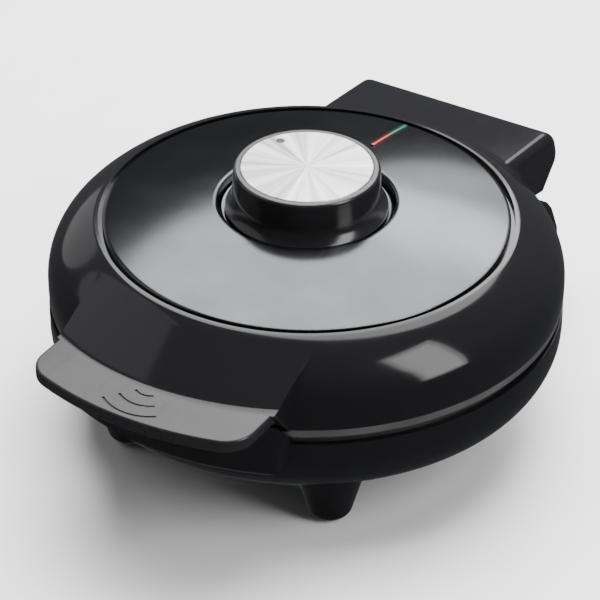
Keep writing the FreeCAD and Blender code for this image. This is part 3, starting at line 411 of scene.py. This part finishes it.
def make_lid_skin():
    """From the groove's floor up its wall, over the rolled rim, crown and shoulder, and down to the lip."""
    step = CROWN_ARC - SHOULDER_ARC
    slope = radians(SHOULDER_ANGLE)
    crown = (SHOULDER[0] - step * cos(slope), SHOULDER[1] - step * sin(slope))
    crown_angle = degrees(acos((CROWN_START - crown[0]) / CROWN_ARC))
    crown_top = crown[1] + CROWN_ARC * sin(radians(crown_angle))
    roll = arc((GROOVE_RADIUS + RIM_ROLL, crown_top - RIM_ROLL), RIM_ROLL, 180.0, RIM_ROLL_END, RIM_STEPS)
    lip = [(BODY_RADIUS, LID_RIM + LIP_ALONG), (BODY_RADIUS - LIP_IN_MIDWAY, LID_RIM + LIP_ALONG_MIDWAY),
           (BODY_RADIUS - LIP_IN, LID_RIM)]
    outside = ([(GROOVE_RADIUS, GROOVE_FLOOR)] + roll
               + arc(crown, CROWN_ARC, crown_angle, SHOULDER_ANGLE, SHOULDER_STEPS)
               + arc(SHOULDER, SHOULDER_ARC, SHOULDER_ANGLE, 0.0, SHOULDER_STEPS)[1:] + lip)
    inside = ([(GROOVE_RADIUS + SKIN, GROOVE_FLOOR), (GROOVE_RADIUS + SKIN, crown_top - SKIN)]
              + arc(crown, CROWN_ARC - SKIN, crown_angle, SHOULDER_ANGLE, INSIDE_STEPS)
              + arc(SHOULDER, SHOULDER_ARC - SKIN, SHOULDER_ANGLE, 0.0, INSIDE_STEPS)[1:]
              + [(BODY_RADIUS - SKIN, LID_RIM)])
    turned("lid_crown", outside, inside, "gloss_shell", "lid")


def make_bowl_skin():
    """From the bowl's lip round its belly."""
    lip = [(BODY_RADIUS - LIP_IN, BASE_RIM), (BODY_RADIUS - LIP_IN_MIDWAY, BASE_RIM - LIP_ALONG_MIDWAY),
           (BODY_RADIUS, BASE_RIM - LIP_ALONG)]
    outside = lip + arc(BELLY, BELLY_ARC, 0.0, BELLY_END, BELLY_STEPS)
    inside = [(BODY_RADIUS - SKIN, BASE_RIM)] + arc(BELLY, BELLY_ARC - SKIN, 0.0, BELLY_END, INSIDE_STEPS)
    turned("bowl_belly", outside, inside, "gloss_shell", "base")


def make_disc_skin():
    """From the disc's edge over its dome, down into the dish and across its floor to the spindle's hole."""
    edge = dome_height(DISC_RADIUS)
    brink = dome_height(DISH_RADIUS)
    slope_foot = DISH_RADIUS - DISH_SLOPE
    span = DISC_RADIUS - DISH_RADIUS - DOME_TRIM
    radii = [DISC_RADIUS - DOME_INSET - index * span / DISC_RINGS for index in range(DISC_RINGS + 1)]
    rolled_edge = arc((DISC_RADIUS - EDGE_ROLL, edge - EDGE_ROLL), EDGE_ROLL, 0.0, EDGE_ROLL_END, EDGE_STEPS)
    into_dish = [(DISH_RADIUS + outwards, brink + upwards) for outwards, upwards in BRINK_ROUNDING]
    onto_floor = [(slope_foot + outwards, DISH_FLOOR + upwards) for outwards, upwards in FOOT_ROUNDING]
    outside = ([(DISC_RADIUS, edge - DISC_SKIRT)] + rolled_edge
               + [(radius, dome_height(radius)) for radius in radii] + into_dish + onto_floor
               + [(SPINDLE_HOLE, DISH_FLOOR)])
    inside = [(DISC_RADIUS - SKIN, edge - DISC_SKIRT), (DISC_RADIUS - SKIN, edge - 2 * SKIN)]
    inside += [(radius, dome_height(radius) - SKIN) for radius in radii[1::INSIDE_STRIDE]]
    inside += [(DISH_RADIUS, brink - DISH_UNDERSIDE), (slope_foot, DISH_FLOOR - SKIN),
               (SPINDLE_HOLE, DISH_FLOOR - SKIN)]
    turned("disc_skin", outside, inside, "dark_steel", "lid")


def make_light_strip():
    """The red bar nearer the middle, then the green one."""
    middle = STRIP_START + STRIP_LENGTH / 2
    make_lens_bar("red_lens_bar", STRIP_START, middle, "red_lens", "red_indicator_lens")
    make_lens_bar("green_lens_bar", middle, STRIP_START + STRIP_LENGTH, "green_lens", "green_indicator_lens")


def tuck_cad_under_skins():
    """Draws the faceted CAD surfaces in a little, so that the smooth skins at the same size show."""
    for name in ("upper_housing", "lower_housing", "top_plate"):
        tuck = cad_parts[name].modifiers.new("tuck", "DISPLACE")
        tuck.mid_level = 0.0
        tuck.strength = -TUCK * MM


# ---------------------------------------------------------------- stage, lights and camera

AZIMUTH = radians(CAMERA_AZIMUTH)
ELEVATION = radians(CAMERA_ELEVATION)
RIGHT = Vector((cos(AZIMUTH), sin(AZIMUTH), 0.0))
BACK = Vector((sin(AZIMUTH) * cos(ELEVATION), -cos(AZIMUTH) * cos(ELEVATION), sin(ELEVATION)))
UP = BACK.cross(RIGHT)


def make_camera():
    """The offsets aside, upwards and back are measured from CAMERA_TARGET."""
    data = bpy.data.cameras.new("camera")
    data.lens = CAMERA_LENS
    data.sensor_width = CAMERA_SENSOR
    data.clip_end = CAMERA_FAR
    camera = bpy.data.objects.new("camera", data)
    bpy.context.scene.collection.objects.link(camera)
    roll = radians(CAMERA_ROLL)
    across = RIGHT * cos(roll) + UP * sin(roll)
    upward = UP * cos(roll) - RIGHT * sin(roll)
    spot = (RIGHT * CAMERA_ASIDE + UP * CAMERA_RAISED + BACK * CAMERA_DISTANCE + Vector(CAMERA_TARGET)) * MM
    turn = Matrix((across, upward, BACK)).transposed()
    camera.matrix_world = Matrix.Translation(spot) @ turn.to_4x4()
    bpy.context.scene.camera = camera


def make_floor():
    """Pale floor, kept out of reflections so that the black shells stay dark."""
    mesh = bpy.data.meshes.new("floor")
    built = bmesh.new()
    bmesh.ops.create_grid(built, x_segments=FLOOR_CELLS, y_segments=FLOOR_CELLS, size=FLOOR_HALF)
    built.to_mesh(mesh)
    built.free()
    floor = bpy.data.objects.new("floor", mesh)
    bpy.context.scene.collection.objects.link(floor)
    paper = finish_for("floor_paper", (0.86, 0.86, 0.86), (0.89, 0.89, 0.89), (0.75, 0.85), depth=0.000002)
    floor.data.materials.append(paper.material)
    floor.visible_glossy = False


def direction(bearing, height):
    """Towards a light. Bearing starts behind the object, as the camera sees it, and turns rightwards."""
    away = Vector((-sin(AZIMUTH), cos(AZIMUTH), 0.0))
    flat = away * cos(radians(bearing)) + RIGHT * sin(radians(bearing))
    return flat * cos(radians(height)) + Vector((0, 0, 1)) * sin(radians(height))


def softbox(name, bearing, height, distance, width, length, power, reflected=True, shape="RECTANGLE"):
    """An area light that faces the object. Its own reflection is hidden where reflected is False."""
    data = bpy.data.lights.new(name, "AREA")
    data.shape = shape
    data.size = width
    data.size_y = length
    data.energy = power
    lamp = bpy.data.objects.new(name, data)
    bpy.context.scene.collection.objects.link(lamp)
    lamp.visible_glossy = reflected
    target = Vector(LIGHT_AIM)
    lamp.location = target + direction(bearing, height) * distance
    lamp.rotation_euler = (target - lamp.location).to_track_quat("-Z", "Y").to_euler()


def glow(name, bearing, height, widest, layers, radiance, distance=1.5):
    """A round soft-edged light: discs of growing size whose radiances add up to radiance at the middle."""
    for layer in range(layers):
        across = 2 * distance * tan(radians(widest * (layer + 1) / layers))
        power = radiance / layers * pi * pi / 4 * across * across
        softbox("%s_%d" % (name, layer), bearing, height, distance, across, across, power, shape="DISK")


def make_lights():
    """Bearings and heights in degrees, distances and sizes in metres, powers in watts."""
    softbox("top_softbox", 0.0, 80.0, 1.7, 1.5, 1.5, 60.0, reflected=False)
    softbox("right_softbox", 123.0, 32.0, 1.2, 0.36, 0.85, 8.0)
    softbox("right_softbox_edge", 123.0, 32.0, 1.2, 0.46, 0.98, 7.0)
    glow("back_glow", 14.0, 61.0, 31.0, 8, 52.0)
    glow("shelf_glow", 21.0, 33.0, 13.0, 5, 16.0, distance=0.75)
    glow("left_glow", -85.0, 32.0, 26.0, 4, 2.4)
    glow("rear_left_glow", -38.0, 14.0, 15.0, 4, 3.0, distance=2.2)
    world = bpy.data.worlds.new("studio")
    world.use_nodes = True
    background = world.node_tree.nodes["Background"]
    background.inputs["Color"].default_value = (0.95, 0.97, 1.0, 1.0)
    background.inputs["Strength"].default_value = 0.09
    bpy.context.scene.world = world


paint_cad_nodes()
make_lid_skin()
make_bowl_skin()
make_disc_skin()
make_light_strip()
tuck_cad_under_skins()
make_camera()
make_floor()
make_lights()
